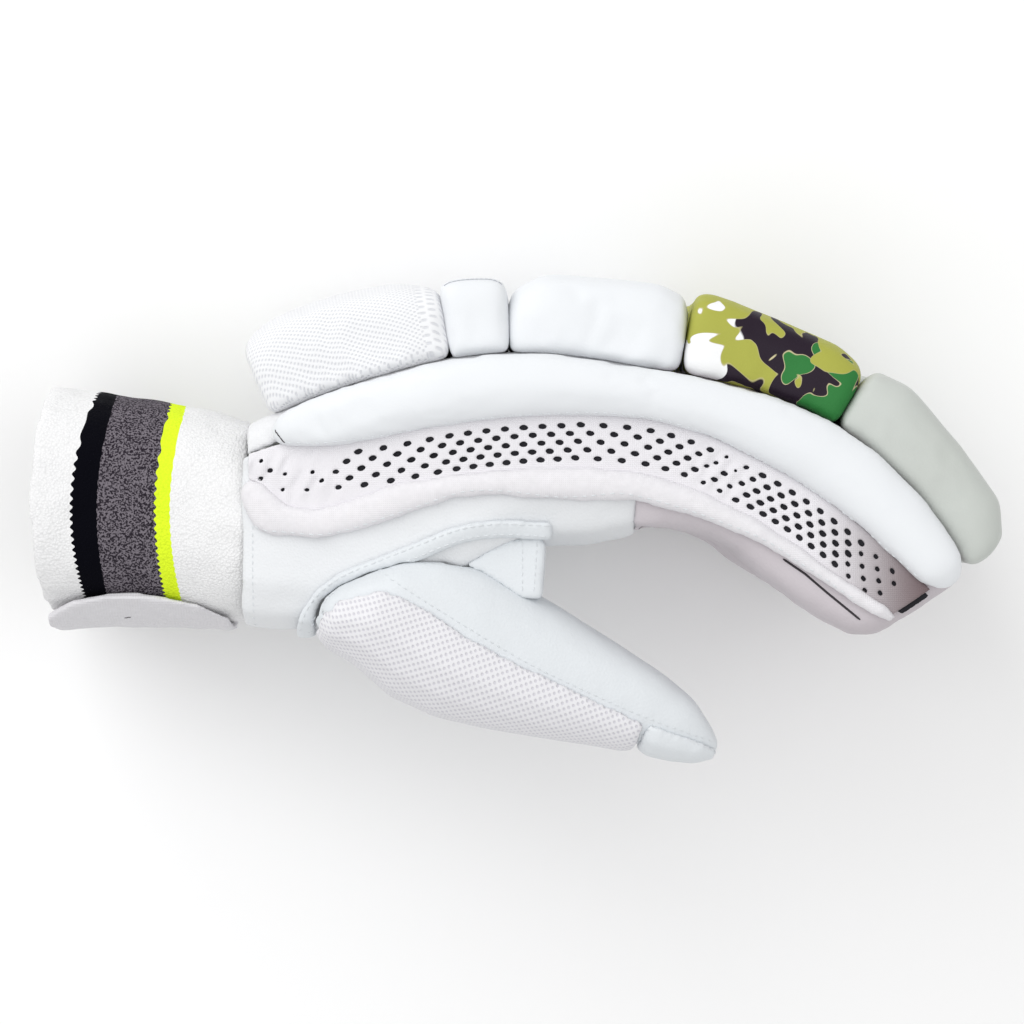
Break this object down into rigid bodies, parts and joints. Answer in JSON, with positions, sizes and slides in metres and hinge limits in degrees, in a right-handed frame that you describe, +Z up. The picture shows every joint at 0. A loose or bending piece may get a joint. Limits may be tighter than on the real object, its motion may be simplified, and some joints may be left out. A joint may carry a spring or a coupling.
{
  "type": "cricket batting glove",
  "caption": "Left-hand cricket batting glove with striped towelling cuff, padded finger rolls, camouflage rolls and a pierced mesh side.",
  "frame": {"origin": "bottom centre of the bounding box, on the floor that the little-finger side rests on", "axes": "+X from the cuff to the fingertips, +Y towards the back of the hand, +Z up from the little finger to the index finger and thumb"},
  "size_m": [0.2522, 0.1258, 0.1067],
  "materials": {
    "towelling": "looped cotton knit",
    "white_leather": "soft matt leather",
    "white_cover": "smooth matt synthetic leather over foam",
    "white_cloth": "plain cotton",
    "air_mesh": "knitted air mesh over foam",
    "pierced_mesh": "coarse pierced mesh",
    "dark_lining": "matt dark cloth",
    "camouflage_cover": "printed satin synthetic leather",
    "fingertip_cover": "smooth matt synthetic leather",
    "strap_cloth": "brushed hook-and-loop tape"
  },
  "bodies": {
    "root": {"wrist_cuff": "towelling", "palm": "white_leather", "back_panel": "white_cloth", "back_pad": "air_mesh", "side_bolster": "white_cover", "little_side_bolster": "white_cover", "gusset_lining": "dark_lining", "gusset_mesh": "pierced_mesh", "gusset_border": "white_cloth", "thumb_stall": "white_leather", "thumb_pad": "air_mesh", "thumb_tip_cap": "white_cover", "thumb_welt": "white_leather", "thumb_web": "white_leather", "wrist_strap": "strap_cloth", "little_stall": "white_leather", "knuckle_block_little": "white_cover", "finger_roll_little": "white_cover", "camo_roll_little": "camouflage_cover", "tip_roll_little": "fingertip_cover", "ring_stall": "white_leather", "knuckle_block_ring": "white_cover", "finger_roll_ring": "white_cover", "camo_roll_ring": "camouflage_cover", "tip_roll_ring": "fingertip_cover", "middle_stall": "white_leather", "knuckle_block_middle": "white_cover", "finger_roll_middle": "white_cover", "camo_roll_middle": "camouflage_cover", "tip_roll_middle": "fingertip_cover", "index_stall": "white_leather", "knuckle_block_index": "white_cover", "finger_roll_index": "white_cover", "camo_roll_index": "camouflage_cover", "tip_roll_index": "fingertip_cover"}
  },
  "joints": []
}
